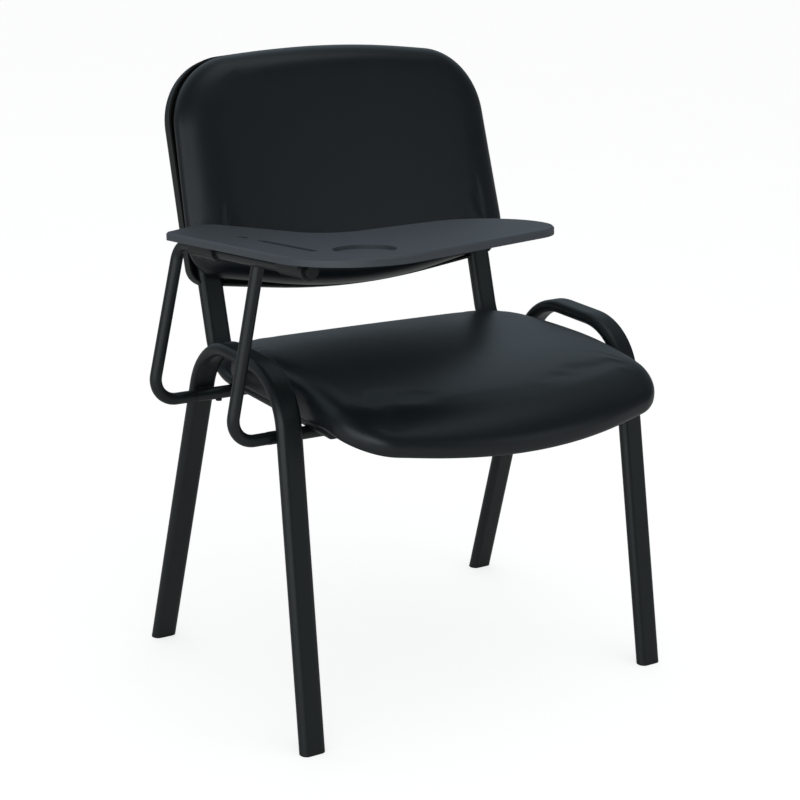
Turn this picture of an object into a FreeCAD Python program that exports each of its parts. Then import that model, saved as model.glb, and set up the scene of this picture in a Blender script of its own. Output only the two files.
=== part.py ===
# Stacking conference chair with a writing tablet that folds up on the sitter's right.
# Millimetres, +Z up. The sitter faces -Y, so the sitter's right, with the tablet, is -X.
# The chair is drawn about its own symmetry plane x = 0, with y = 0 midway between the feet,
# and is moved at the end so that the origin is on the floor under the middle of its box.
import FreeCAD, Part
import math
import os

V = FreeCAD.Vector

# Clearances
SLIP = 0.15               # plug in a tube, each side
WELD_GAP = 0.2            # between two tubes that are welded together
SEAT_GAP = 0.3            # between a soft piece and what holds it
RUN_GAP = 0.05            # hinge clip on its rod, radial
HOLE_GAP = 0.25           # bolt in its hole, radial
TUBE_ROOM = 0.8           # moulding round a tube, each side

# Flat-oval tube of the leg frames and of the seat-back tubes
OVAL_WIDTH = 33.6
OVAL_THICK = 16.8
OVAL_WALL = 1.5

# Seat: plan outline and heights above the board's lower face
SEAT_HALF = 237.0
SEAT_PAST = 1.0           # seat's rear behind the corner of rail and upright
SEAT_PEAK = -276.0        # where the two straight sides of the bowed front would meet
SEAT_SWEEP = 62.0         # how far behind that the front's ends would meet the sides
SEAT_BOW = 0.7            # share of the half width that rounds the front's middle
SEAT_REAR_RADIUS = 78.0
SEAT_FRONT_RADIUS = 70.0
SEAT_RISE = 42.4          # highest point of the cover
SEAT_CROWN_Y = -60.0
SEAT_REAR_FALL = 14.0     # from the crown to the rear
SEAT_FRONT_FALL = 32.0    # from the crown to the front's middle
SEAT_REAR_POWER = 1.7     # how suddenly the crown falls to the rear
SEAT_FRONT_POWER = 2.0    # and to the front
SEAT_TOP_EDGE = 22.5
SEAT_LOW_EDGE = 7.0
CROWN_POINTS = 13         # points through which the crown's side view is drawn
FALL_LENGTH = 124.0       # front part over which board and pan curve down
FALL_RADIUS = 298.0
PAN_WALL = 2.5
PAN_DEPTH = 6.5           # pan's lower face below the board's
PAN_RISE = 1.7            # pan's rim above the board's lower face
PAN_INSET = 4.6
PAN_SHORT = 4.0           # how much further back the pan's front is
BOARD_THICK = 11.0
BOARD_INSET = 10.0
COVER_THICK = 1.2
HEM_DROP = 1.2            # seat cover's lower edge below the pan

# Seat-back tubes: a rail under the seat that bends up into an upright
RAIL_INSET = 22.4         # centre line in from the seat's side
RAIL_Z = 385.5
RAIL_PAST = 10.0          # rail's front end past the start of the board's curve
RAIL_BEND = 60.0
BACK_LEAN = 19.8          # degrees from upright
BACK_Y = 176.4            # upright's centre line at BACK_Z
BACK_Z = 495.0
UPRIGHT_TOP = 215.0       # along the upright from BACK_Z

# Leg frames: an inverted U on each side
LEG_SIDE_GAP = 6.4        # between the seat's side and the top of the arch
LEG_SPLAY = 6.6           # foot further out than the top
LEG_RISE = 59.2           # top of the arch above the rail, centre lines
LEG_FOOT_Y = 193.0
LEG_LEAN = 12.7           # degrees, each leg towards the middle going up
LEG_BEND = 78.5
CAP_HEIGHT = 6.0
CAP_PLUG = 22.0

# Cross tubes: round, welded to the inner sides of the legs, under the rails
CROSS_DIA = 16.0
CROSS_WALL = 1.8
CROSS_OVERHANG = 3.0      # past the outer face of the leg frame
CROSS_SADDLE = 2.5        # how deep the rails are notched over the cross tubes
PLUG_FLANGE = 2.5
PLUG_LENGTH = 14.0

# Bolts, tee nuts and screws
BOLT_DIA = 6.0
BOLT_HEAD_DIA = 12.0
BOLT_HEAD = 3.6
TEE_BARREL = 8.0
TEE_FLANGE_DIA = 18.0
TEE_FLANGE = 1.5
TEE_DEPTH = 9.0
SCREW_DIA = 4.0
SCREW_HEAD_DIA = 8.0
SCREW_HEAD = 2.4
SCREW_REACH = 0.8         # share of the board's thickness that a screw enters
SEAT_BOLT_IN = 28.0       # seat bolts inwards of the cross tubes
BACK_BOLT_WS = (75.0, 185.0)

# Back: outline in its own plane, w along the upright from BACK_Z, n to the front
BACK_SIDE = 32.9          # lower half past the uprights' centre line
BACK_TAPER = 10.5         # upper half narrower on each side
BACK_TOP = 295.0
BACK_BOTTOM = -26.5
BACK_BOTTOM_RISE = 44.0   # lower corners above the middle of the lower edge
BACK_TOP_FALL = 22.0      # upper corners below the middle of the upper edge
BACK_TOP_RADIUS = 104.0
BACK_LOW_RADIUS = 44.0
BACK_ARCH = 0.5           # share of the half width that rounds the middle of either edge
BACK_CROWN = 52.0         # front of the cover from the uprights' centre plane
BACK_BARREL = 3200.0      # radius of the front's crown across the back
BACK_FRONT_EDGE = 24.0
BACK_REAR_EDGE = 6.0
BACK_BOARD = 10.0
BACK_LAP = 2.0            # cover's rear edge in front of the board's rear face
SHELL_WALL = 2.5
SHELL_SIDE = 26.0         # lower half past the uprights' centre line, without the outset
SHELL_TAPER = 1.8         # upper half narrower on each side
SHELL_OUTSET = 3.0        # shell's outline beyond those sizes and the cushion's upper edge
SHELL_LIFT = 4.0          # shell's lower edge above the cushion's
SHELL_BOTTOM_RISE = 30.0  # lower corners above the middle of the lower edge
SHELL_TOP_RADIUS = 88.0
SHELL_LOW_RADIUS = 20.0
SHELL_REAR = -16.0
SHELL_RIM = 5.0
SHELL_ROUND = 10.0
SHELL_BOSS_DIA = 11.0
SHELL_SCREW_X = 120.0
SHELL_SCREW_WS = (50.0, 220.0)

# Tablet frame: round tube
BAR_DIA = 15.2
BAR_WALL = 1.4
BAR_INSERT = 70.0         # narrowed end inside the cross tube
BAR_SHOULDER = 3.0        # solid length where the end narrows
BAR_BEND = 29.0
REAR_POST_OUT = 51.7      # rear post past the cross tube's end, POST_UP above the bar
FRONT_POST_OUT = 46.0     # front post past the cross tube's end, POST_UP above the bar
POST_UP = 43.0
ROD_OUT = 23.5            # rod past the cross tube's end
ROD_Z = 580.3             # rod's centre at y = 0
ROD_TILT = 6.6            # degrees, up to the front
ROD_BEND = 22.0
ROD_FRONT = -216.0        # along the rod
JOINT_INSET = 4.3         # front post's centre line inwards of the rod's, where they meet
TUBE_SCREW_IN = 36.0      # from the cross tube's end

# Tablet: x from the rod towards the seat, y as on the chair, heights above the rod's centre
TABLET_OVERHANG = 38.0
TABLET_TIP = 362.0
TABLET_CORNERS = (        # x, y and radius, from the front outer corner round by the tip
    (-TABLET_OVERHANG, -334.0, 95.0), (TABLET_TIP, -214.0, 75.0), (TABLET_TIP, -54.0, 87.0),
    (97.0, -92.0, 55.0), (43.0, 106.0, 22.0), (-TABLET_OVERHANG, 58.0, 18.0))
TABLET_TOP = 20.8
TABLET_THICK = 9.2
TABLET_SKIN = 3.0
TABLET_RIM = 3.0
TABLET_EDGE = 1.8
PAD_LOW = 13.7            # lower face of the pad that takes the hinge clips
PAD_REACH = (-18.0, 44.0)
CUP_CENTRE = (62.0, -226.0)
CUP_DIA = 72.0
CUP_DEPTH = 4.0
GROOVE_X = 10.0
GROOVE_WIDTH = 8.0
GROOVE_DEPTH = 3.2
GROOVE_SPANS = ((-85.0, -209.0), (-38.0, -58.0))
RIB_WIDTH = 3.0
RIB_PLACES = (184.0, 264.0, 314.0)

# Hinge clips on the rod, and the collars that stop them
CLIP_WALL = 2.2
CLIP_FLANGE = 3.5
CLIP_SPANS = {"rear_hinge_clip": (52.0, 0.0), "front_hinge_clip": (-156.0, -203.0)}
CLIP_SCREW_X = 30.0
CLIP_SCREW_INSET = 10.0
COLLAR_DIA = 22.0
COLLAR_WIDTH = 8.0
COLLAR_ARM = 24.0
COLLAR_ARM_THICK = 4.0

BIG = 2000.0
parts = {}


# Shared shapes

def unit(vector):
    """A copy of the vector with length one."""
    return vector * (1.0 / vector.Length)


def rounded(corners, radii, closed=False):
    """A wire of straight runs joined by tangent arcs, one radius for each turned corner."""
    count = len(corners)
    turned = range(count) if closed else range(1, count - 1)
    entry = list(corners)
    leave = list(corners)
    middle = {}
    for index, radius in zip(turned, radii):
        corner = corners[index]
        back = unit(corners[index - 1] - corner)
        ahead = unit(corners[(index + 1) % count] - corner)
        half = back.getAngle(ahead) / 2
        inward = unit(back + ahead)
        reach = radius / math.tan(half)
        entry[index] = corner + back * reach
        leave[index] = corner + ahead * reach
        middle[index] = corner + inward * (radius / math.sin(half) - radius)
    edges = []
    for index in range(count):
        if index in middle:
            edges.append(Part.Arc(entry[index], middle[index], leave[index]).toShape())
        if closed or index < count - 1:
            follow = entry[(index + 1) % count]
            edges.append(Part.LineSegment(leave[index], follow).toShape())
    return Part.Wire(edges)


def flat_oval(width, thick):
    """A flat-oval outline on the XY plane, wide along X."""
    radius = thick / 2
    flat = width / 2 - radius
    corners = [V(-flat, -radius), V(flat, -radius), V(flat, radius), V(-flat, radius)]
    return Part.Wire([
        Part.LineSegment(corners[0], corners[1]).toShape(),
        Part.Arc(corners[1], V(flat + radius, 0), corners[2]).toShape(),
        Part.LineSegment(corners[2], corners[3]).toShape(),
        Part.Arc(corners[3], V(-flat - radius, 0), corners[0]).toShape(),
    ])


def stood(shape, origin, direction):
    """The shape with its Z axis turned to a direction in the YZ plane and moved to origin."""
    angle = math.degrees(math.atan2(-direction.y, direction.z))
    turn = FreeCAD.Rotation(V(1, 0, 0), angle)
    result = shape.copy()
    result.Placement = FreeCAD.Placement(origin, turn).multiply(result.Placement)
    return result


def prism(wire, direction):
    """The closed flat wire filled and drawn out along direction."""
    return Part.Face(wire).extrude(direction)


def oval_sweep(path, width, thick):
    """A solid flat-oval bar along a path in a YZ plane."""
    first = path.Edges[0]
    start = first.valueAt(first.FirstParameter)
    heading = first.tangentAt(first.FirstParameter)
    profile = stood(flat_oval(width, thick), start, heading)
    return path.makePipeShell([profile], True, False)


def round_sweep(path, diameter):
    """A solid round bar along a path."""
    first = path.Edges[0]
    start = first.valueAt(first.FirstParameter)
    heading = first.tangentAt(first.FirstParameter)
    profile = Part.Wire(Part.Circle(start, heading, diameter / 2).toShape())
    return path.makePipeShell([profile], True, False)


def rod_between(start, end, diameter):
    """A round bar from start to end."""
    return Part.makeCylinder(diameter / 2, (end - start).Length, start, end - start)


def slab(low, high):
    """A box from its lowest to its highest corner."""
    size = high - low
    return Part.makeBox(size.x, size.y, size.z, low)


def below(height):
    """All space under a height."""
    return slab(V(-BIG, -BIG, -BIG), V(BIG, BIG, height))


def mirrored(shape):
    """The shape on the other side of the chair."""
    return shape.mirror(V(0, 0, 0), V(1, 0, 0))


def bolt(seat, direction, length, diameter, head_diameter, head):
    """A bolt whose head sits on seat and whose shank runs along direction."""
    shank = rod_between(seat, seat + direction * length, diameter)
    return shank.fuse(rod_between(seat - direction * head, seat, head_diameter)).removeSplitter()


def tee_nut(top, direction):
    """A tee nut with its flange under top and its barrel along direction, into the board."""
    nut = rod_between(top - direction * TEE_FLANGE, top, TEE_FLANGE_DIA)
    nut = nut.fuse(rod_between(top, top + direction * TEE_DEPTH, TEE_BARREL))
    bore = rod_between(top - direction * TEE_FLANGE, top + direction * TEE_DEPTH, BOLT_DIA + 2 * RUN_GAP)
    return nut.cut(bore).removeSplitter()


# Leg frames and foot caps

rail_x = SEAT_HALF - RAIL_INSET
leg_top_x = SEAT_HALF + LEG_SIDE_GAP + OVAL_WIDTH / 2
leg_foot_x = leg_top_x + LEG_SPLAY
leg_top_z = RAIL_Z + LEG_RISE
leg_slope = math.tan(math.radians(LEG_LEAN))
splay = math.atan2(LEG_SPLAY, leg_top_z)
arch_height = leg_top_z / math.cos(splay)
leg_under = CAP_PLUG      # the path runs on below the floor before it is cut


def leg_point(height, side):
    """A point of a leg's centre line in the frame's own plane, side is -1 at the front."""
    return V(0, side * (LEG_FOOT_Y - leg_slope * height), height)


def leg_bar(width, thick):
    """The left frame's inverted U as a solid bar, running on below the floor."""
    path = rounded(
        [leg_point(-leg_under, 1), leg_point(arch_height, 1),
         leg_point(arch_height, -1), leg_point(-leg_under, -1)],
        [LEG_BEND, LEG_BEND])
    bar = oval_sweep(path, width, thick)
    bar.rotate(V(0, 0, 0), V(0, 1, 0), -math.degrees(splay))
    bar.translate(V(leg_foot_x, 0, 0))
    return bar


bore_width = OVAL_WIDTH - 2 * OVAL_WALL
bore_thick = OVAL_THICK - 2 * OVAL_WALL
leg_outer = leg_bar(OVAL_WIDTH, OVAL_THICK)
left_frame = leg_outer.cut(leg_bar(bore_width, bore_thick)).cut(below(CAP_HEIGHT))
cap_plates = leg_outer.common(slab(V(-BIG, -BIG, 0), V(BIG, BIG, CAP_HEIGHT)))
plug_bar = leg_bar(bore_width - 2 * SLIP, bore_thick - 2 * SLIP)
cap_plugs = plug_bar.common(slab(V(-BIG, -BIG, CAP_HEIGHT), V(BIG, BIG, CAP_PLUG)))
caps = cap_plates.fuse(cap_plugs)
parts["left_leg_frame"] = left_frame
parts["right_leg_frame"] = mirrored(left_frame)
for end, front in (("front", -BIG), ("rear", 0.0)):
    cap = caps.common(slab(V(-BIG, front, -BIG), V(BIG, front + BIG, BIG))).removeSplitter()
    parts[end + "_left_foot_cap"] = cap
    parts[end + "_right_foot_cap"] = mirrored(cap)

# Cross tubes, with plugs in their left ends

cross_z = RAIL_Z - OVAL_THICK / 2 + CROSS_SADDLE - WELD_GAP - CROSS_DIA / 2
cross_reach = (OVAL_THICK + CROSS_DIA) / 2 + WELD_GAP
cross_y = LEG_FOOT_Y - leg_slope * cross_z - cross_reach / math.cos(math.radians(LEG_LEAN))
cross_x = leg_foot_x - math.tan(splay) * cross_z + OVAL_WIDTH / 2 + CROSS_OVERHANG
cross_bore = CROSS_DIA - 2 * CROSS_WALL
cross_plugs = []
screw_hole = SCREW_DIA + 2 * HOLE_GAP
tube_screw_x = TUBE_SCREW_IN - cross_x
for end, y in (("front", -cross_y), ("rear", cross_y)):
    left = V(cross_x, y, cross_z)
    right = V(-cross_x, y, cross_z)
    tube = rod_between(right, left, CROSS_DIA).cut(rod_between(right, left, cross_bore))
    below_screw = V(tube_screw_x, y, cross_z - CROSS_DIA)
    screw_room = rod_between(below_screw, V(tube_screw_x, y, cross_z), screw_hole)
    parts[end + "_cross_tube"] = tube.cut(screw_room)
    outwards = V(1, 0, 0)
    flange = rod_between(left, left + outwards * PLUG_FLANGE, CROSS_DIA)
    plug = rod_between(left - outwards * PLUG_LENGTH, left, cross_bore - 2 * SLIP)
    cross_plugs.append(flange.fuse(plug).removeSplitter())
parts["cross_tube_plugs"] = Part.makeCompound(cross_plugs)

# Seat-back tubes, with plugs in both ends

lean = math.radians(BACK_LEAN)
up_back = V(0, math.sin(lean), math.cos(lean))
to_front = V(0, -math.cos(lean), math.sin(lean))
back_origin = V(0, BACK_Y, BACK_Z)


def on_back(x, w, n):
    """A point in the back's own axes: across, up along the uprights, to the front."""
    return back_origin + V(x, 0, 0) + up_back * w + to_front * n


corner_w = (RAIL_Z - BACK_Z) / math.cos(lean)
rail_corner = on_back(rail_x, corner_w, 0)
seat_rear = rail_corner.y + SEAT_PAST
seat_slope = SEAT_SWEEP / SEAT_HALF
seat_front = SEAT_PEAK + SEAT_SWEEP * SEAT_BOW / 2
fall_start = seat_front + FALL_LENGTH
rail_front = fall_start - RAIL_PAST
seat_bolt_ys = (cross_y - SEAT_BOLT_IN, SEAT_BOLT_IN - cross_y)
upright_end = on_back(rail_x, UPRIGHT_TOP, 0)
rail_end = V(rail_x, rail_front, RAIL_Z)
seat_back_path = rounded([upright_end, rail_corner, rail_end], [RAIL_BEND])
rail_top = RAIL_Z + OVAL_THICK / 2
rail_low = RAIL_Z - OVAL_THICK / 2
seat_back_tube = oval_sweep(seat_back_path, OVAL_WIDTH, OVAL_THICK)
seat_back_tube = seat_back_tube.cut(oval_sweep(seat_back_path, bore_width, bore_thick))
for y in (-cross_y, cross_y):
    saddle = rod_between(V(0, y, cross_z), V(cross_x, y, cross_z), CROSS_DIA + 2 * WELD_GAP)
    seat_back_tube = seat_back_tube.cut(saddle)
bolt_hole = BOLT_DIA + 2 * HOLE_GAP
for y in seat_bolt_ys:
    seat_back_tube = seat_back_tube.cut(
        rod_between(V(rail_x, y, rail_low - 1), V(rail_x, y, rail_top + 1), bolt_hole))
for w in BACK_BOLT_WS:
    seat_back_tube = seat_back_tube.cut(
        rod_between(on_back(rail_x, w, -OVAL_THICK), on_back(rail_x, w, OVAL_THICK), bolt_hole))
parts["left_seat_back_tube"] = seat_back_tube
parts["right_seat_back_tube"] = mirrored(seat_back_tube)


def oval_plug(end, outwards):
    """A plug for the end of a flat-oval tube, and its mirror image."""
    flange = prism(flat_oval(OVAL_WIDTH, OVAL_THICK), V(0, 0, PLUG_FLANGE))
    insert = prism(flat_oval(bore_width - 2 * SLIP, bore_thick - 2 * SLIP), V(0, 0, -PLUG_LENGTH))
    plug = stood(flange.fuse(insert).removeSplitter(), end, outwards)
    return Part.makeCompound([plug, mirrored(plug)])


parts["rail_end_plugs"] = oval_plug(rail_end, V(0, -1, 0))
parts["upright_end_plugs"] = oval_plug(upright_end, up_back)
tube_room = oval_sweep(seat_back_path, OVAL_WIDTH + 2 * TUBE_ROOM, OVAL_THICK + 2 * TUBE_ROOM)
tubes_room = Part.makeCompound([tube_room, mirrored(tube_room)])

# Seat: pan, board, foam and cover

board_low = rail_top + PAN_WALL
board_top = board_low + BOARD_THICK
pan_low = board_low - PAN_DEPTH
pan_rim = board_low + PAN_RISE
hem = pan_low - HEM_DROP
strip_rear = seat_rear + PAN_WALL


def fall(y):
    """How far the board's front curve has dropped at y."""
    ahead = max(fall_start - y, 0.0)
    return FALL_RADIUS - math.sqrt(FALL_RADIUS ** 2 - ahead ** 2)


def seat_plan(inset, short):
    """The seat's outline in plan, drawn in by inset and shortened at the front."""
    half = SEAT_HALF - inset
    rear = seat_rear - inset
    peak = SEAT_PEAK + short + inset * math.hypot(1, seat_slope)
    corner = peak + seat_slope * half
    corners = [V(half, rear), V(-half, rear), V(-half, corner), V(0, peak), V(half, corner)]
    back_round = SEAT_REAR_RADIUS - inset
    front_round = SEAT_FRONT_RADIUS - inset
    bow = SEAT_BOW * SEAT_HALF / seat_slope - inset
    return rounded(corners, [back_round, back_round, front_round, bow, front_round], closed=True)


def falling_line(height):
    """The board's side view as a line and an arc at a height, from the rear to the front."""
    nearer = (fall_start + SEAT_PEAK) / 2
    bend = V(0, fall_start, height)
    through = V(0, nearer, height - fall(nearer))
    front = V(0, SEAT_PEAK, height - fall(SEAT_PEAK))
    flat_part = Part.LineSegment(V(0, strip_rear, height), bend).toShape()
    return [flat_part, Part.Arc(bend, through, front).toShape()]


def seat_top(y):
    """Height of the cover's crown at y, before its edges are rounded off."""
    if y > SEAT_CROWN_Y:
        share = (y - SEAT_CROWN_Y) / (seat_rear - SEAT_CROWN_Y)
        return board_low + SEAT_RISE - SEAT_REAR_FALL * share ** SEAT_REAR_POWER
    share = (SEAT_CROWN_Y - y) / (SEAT_CROWN_Y - seat_front)
    return board_low + SEAT_RISE - SEAT_FRONT_FALL * share ** SEAT_FRONT_POWER


def crown_line(inset):
    """The crown's side view, lowered by inset, from the rear to the front."""
    step = (SEAT_PEAK - strip_rear) / (CROWN_POINTS - 1)
    ys = [strip_rear + step * index for index in range(CROWN_POINTS)]
    curve = Part.BSplineCurve()
    curve.interpolate([V(0, y, seat_top(y) - inset) for y in ys])
    return [curve.toShape()]


def seat_form(lower, upper, inset, short=0.0):
    """The body between two lines of the side view, in the drawn-in plan."""
    ends = []
    for place in (strip_rear, SEAT_PEAK):
        points = [vertex.Point for edge in lower + upper for vertex in edge.Vertexes]
        pair = [point for point in points if abs(point.y - place) < 1e-6]
        ends.append(Part.LineSegment(*pair).toShape())
    side = Part.Wire(Part.__sortEdges__(lower + upper + ends))
    strip = prism(side, V(2 * SEAT_HALF, 0, 0))
    strip.translate(V(-SEAT_HALF, 0, 0))
    return strip.common(prism(seat_plan(inset, short), V(0, 0, BIG)))


def seat_layer(low, high, inset, short=0.0):
    """A layer between two heights that follows the board's front curve, in the drawn-in plan."""
    return seat_form(falling_line(low), falling_line(high), inset, short)


def seat_cushion(inset):
    """The padded seat, drawn in by inset on every side."""
    low = hem + inset
    body = seat_form(falling_line(low), crown_line(inset), inset)
    top_face = max(body.Faces, key=lambda face: face.CenterOfMass.z)
    body = body.makeFillet(SEAT_TOP_EDGE - inset, top_face.Edges)
    low_edges = []
    for edge in body.Edges:
        at_hem = [abs(vertex.Z - low + fall(vertex.Y)) < 1e-4 for vertex in edge.Vertexes]
        ahead = [abs(vertex.Y - fall_start) > 1e-4 for vertex in edge.Vertexes]
        if all(at_hem) and any(ahead):
            low_edges.append(edge)
    return body.makeFillet(SEAT_LOW_EDGE - inset, low_edges)


seat_board = seat_layer(board_low, board_top, BOARD_INSET).cut(tubes_room)
room_low = hem - SEAT_GAP
board_room = seat_layer(room_low, board_top + SEAT_GAP, BOARD_INSET - SEAT_GAP)
pan_room = seat_layer(room_low, pan_rim + SEAT_GAP, PAN_INSET - SEAT_GAP, PAN_SHORT)
under_seat = board_room.fuse(pan_room).fuse(tubes_room)
seat_cover = seat_cushion(0.0).cut(seat_cushion(COVER_THICK)).cut(under_seat)
seat_foam = seat_cushion(COVER_THICK + SEAT_GAP).cut(under_seat)
seat_pan = seat_layer(pan_low, pan_rim, PAN_INSET, PAN_SHORT)
seat_pan = seat_pan.cut(seat_layer(pan_low + PAN_WALL, pan_rim + PAN_WALL, PAN_INSET + PAN_WALL, PAN_SHORT))
channel_half = OVAL_WIDTH / 2 + TUBE_ROOM
channel_front = rail_front - PLUG_FLANGE - TUBE_ROOM
for x in (-rail_x, rail_x):
    roof = slab(V(x - channel_half - PAN_WALL, channel_front - PAN_WALL, pan_low),
                V(x + channel_half + PAN_WALL, seat_rear, board_low))
    seat_pan = seat_pan.fuse(roof.common(seat_layer(pan_low, board_low, PAN_INSET, PAN_SHORT)))
for x in (-rail_x, rail_x):
    channel = slab(V(x - channel_half, channel_front, 0), V(x + channel_half, BIG, rail_top))
    seat_pan = seat_pan.cut(channel)
seat_pan = seat_pan.cut(tubes_room.cut(below(rail_top)))
seat_pan = seat_pan.cut(seat_layer(board_low, board_top, BOARD_INSET - SEAT_GAP))

seat_bolts = []
seat_nuts = []
for x in (-rail_x, rail_x):
    for y in seat_bolt_ys:
        hole = rod_between(V(x, y, 0), V(x, y, board_top + TEE_FLANGE), bolt_hole)
        seat_pan = seat_pan.cut(hole)
        barrel = rod_between(V(x, y, board_low - 1), V(x, y, board_top), TEE_BARREL + 2 * SLIP)
        seat_board = seat_board.cut(barrel)
        pocket = rod_between(V(x, y, board_top), V(x, y, board_top + TEE_FLANGE + SEAT_GAP),
                             TEE_FLANGE_DIA + 2 * SEAT_GAP)
        seat_foam = seat_foam.cut(pocket)
        seat_nuts.append(tee_nut(V(x, y, board_top), V(0, 0, -1)))
        seat_bolts.append(bolt(V(x, y, rail_low), V(0, 0, 1), board_top - rail_low,
                               BOLT_DIA, BOLT_HEAD_DIA, BOLT_HEAD))
parts["seat_pan"] = seat_pan.removeSplitter()
parts["seat_board"] = seat_board
parts["seat_foam"] = seat_foam
parts["seat_cover"] = seat_cover
parts["seat_bolts"] = Part.makeCompound(seat_bolts)
parts["seat_tee_nuts"] = Part.makeCompound(seat_nuts)

# Back: board, foam, cover and the shell behind the uprights

back_frame = FreeCAD.Placement(back_origin, FreeCAD.Rotation(V(1, 0, 0), up_back, to_front, "XYZ"))
board_rear = OVAL_THICK / 2
board_front = board_rear + BACK_BOARD
back_low = board_rear + BACK_LAP
back_half = rail_x + BACK_SIDE
back_top_half = back_half - BACK_TAPER
shell_half = rail_x + SHELL_SIDE
shell_top_half = shell_half - SHELL_TAPER
cushion_sizes = (back_half, back_top_half, BACK_BOTTOM_RISE, BACK_LOW_RADIUS, BACK_TOP_RADIUS)
shell_sizes = (shell_half, shell_top_half, SHELL_BOTTOM_RISE, SHELL_LOW_RADIUS, SHELL_TOP_RADIUS)


def back_plan(inset, lift=0.0, sizes=cushion_sizes):
    """The back's outline on the XY plane, drawn in by inset, its lower edge lifted."""
    low_half, high_half, rise, low_round, top_round = sizes
    half = low_half - inset
    top_half = high_half - inset
    bottom = BACK_BOTTOM + inset + lift
    top = BACK_TOP - inset
    low_slope = rise / low_half
    high_slope = BACK_TOP_FALL / high_half
    low_radius = low_round ** 2 / (low_round + inset)
    top_radius = top_round ** 2 / (top_round + inset)
    low_peak = bottom - low_slope * half * BACK_ARCH / 2
    top_peak = top + high_slope * top_half * BACK_ARCH / 2
    low_corner = low_peak + low_slope * half
    top_corner = top_peak - high_slope * top_half
    corners = [V(0, low_peak), V(half, low_corner), V(top_half, top_corner),
               V(0, top_peak), V(-top_half, top_corner), V(-half, low_corner)]
    low_arch = half * BACK_ARCH / low_slope
    top_arch = top_half * BACK_ARCH / high_slope
    radii = [low_arch, low_radius, top_radius, top_arch, top_radius, low_radius]
    return rounded(corners, radii, closed=True)


def back_layer(rear, front, inset, lift=0.0, sizes=cushion_sizes):
    """A flat layer of the back between two distances from the uprights' centre plane."""
    layer = prism(back_plan(inset, lift, sizes), V(0, 0, front - rear))
    layer.translate(V(0, 0, rear))
    return layer


def back_cushion(inset):
    """The padded back on the XY plane, drawn in by inset on every side."""
    rear = back_low + inset
    front = BACK_CROWN - inset
    reach = 1.5 * back_half
    fall_off = BACK_BARREL - math.sqrt(BACK_BARREL ** 2 - reach ** 2)
    right = V(reach, -BIG, front - fall_off)
    left = V(-reach, -BIG, front - fall_off)
    down = V(0, 0, -BACK_CROWN)
    section = Part.Wire([
        Part.Arc(left, V(0, -BIG, front), right).toShape(),
        Part.LineSegment(right, right + down).toShape(),
        Part.LineSegment(right + down, left + down).toShape(),
        Part.LineSegment(left + down, left).toShape(),
    ])
    body = back_layer(rear, 2 * BACK_CROWN, inset).common(prism(section, V(0, 2 * BIG, 0)))
    front_face = max(body.Faces, key=lambda face: face.CenterOfMass.z)
    body = body.makeFillet(BACK_FRONT_EDGE - inset, front_face.Edges)
    rear_face = min(body.Faces, key=lambda face: face.CenterOfMass.z)
    return body.makeFillet(BACK_REAR_EDGE - inset, rear_face.Edges)


def set_on_back(shape):
    """The shape moved from the XY plane into the back's own axes."""
    result = shape.copy()
    result.Placement = back_frame.multiply(result.Placement)
    return result


back_board = back_layer(board_rear, board_front, BOARD_INSET)
back_board_room = back_layer(0, board_front + SEAT_GAP, BOARD_INSET - SEAT_GAP)
back_cover = back_cushion(0.0).cut(back_cushion(COVER_THICK)).cut(back_board_room)
back_foam = back_cushion(COVER_THICK + SEAT_GAP).cut(back_board_room)


def shell_body(inset, rear, rounding):
    """The shell's outer or inner form, rounded along its rear edge."""
    body = back_layer(rear, SHELL_RIM, inset, SHELL_LIFT, shell_sizes)
    rear_edges = [edge for edge in body.Edges if abs(edge.CenterOfMass.z - rear) < 1e-6]
    return body.makeFillet(rounding, rear_edges)


shell_inner = shell_body(SHELL_WALL - SHELL_OUTSET, SHELL_REAR + SHELL_WALL, SHELL_ROUND - SHELL_WALL)
back_shell = shell_body(-SHELL_OUTSET, SHELL_REAR, SHELL_ROUND).cut(shell_inner)
back_bolts = []
back_nuts = []
shell_screws = []
screw_thread = SCREW_DIA + 2 * RUN_GAP
screw_end = board_rear + BACK_BOARD * SCREW_REACH
for x in (-SHELL_SCREW_X, SHELL_SCREW_X):
    for w in SHELL_SCREW_WS:
        seat = V(x, w, SHELL_REAR + SCREW_HEAD)
        back_shell = back_shell.fuse(rod_between(V(x, w, SHELL_REAR), V(x, w, board_rear), SHELL_BOSS_DIA))
        back_shell = back_shell.cut(rod_between(V(x, w, SHELL_REAR), seat, SCREW_HEAD_DIA + 2 * HOLE_GAP))
        back_shell = back_shell.cut(rod_between(seat, V(x, w, board_rear), screw_hole))
        back_board = back_board.cut(rod_between(V(x, w, board_rear), V(x, w, screw_end), screw_thread))
        shell_screws.append(bolt(seat, V(0, 0, 1), screw_end - seat.z,
                                 SCREW_DIA, SCREW_HEAD_DIA, SCREW_HEAD))
for x in (-rail_x, rail_x):
    for w in BACK_BOLT_WS:
        back_board = back_board.cut(
            rod_between(V(x, w, 0), V(x, w, board_front), TEE_BARREL + 2 * SLIP))
        back_foam = back_foam.cut(
            rod_between(V(x, w, board_front), V(x, w, board_front + TEE_FLANGE + SEAT_GAP),
                        TEE_FLANGE_DIA + 2 * SEAT_GAP))
        back_nuts.append(tee_nut(V(x, w, board_front), V(0, 0, -1)))
        back_bolts.append(bolt(V(x, w, -OVAL_THICK / 2), V(0, 0, 1), board_front + OVAL_THICK / 2,
                               BOLT_DIA, BOLT_HEAD_DIA, BOLT_HEAD))
parts["back_board"] = set_on_back(back_board)
parts["back_foam"] = set_on_back(back_foam)
parts["back_cover"] = set_on_back(back_cover)
parts["back_shell"] = set_on_back(back_shell.removeSplitter()).cut(tubes_room)
parts["back_bolts"] = set_on_back(Part.makeCompound(back_bolts))
parts["back_tee_nuts"] = set_on_back(Part.makeCompound(back_nuts))
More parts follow.
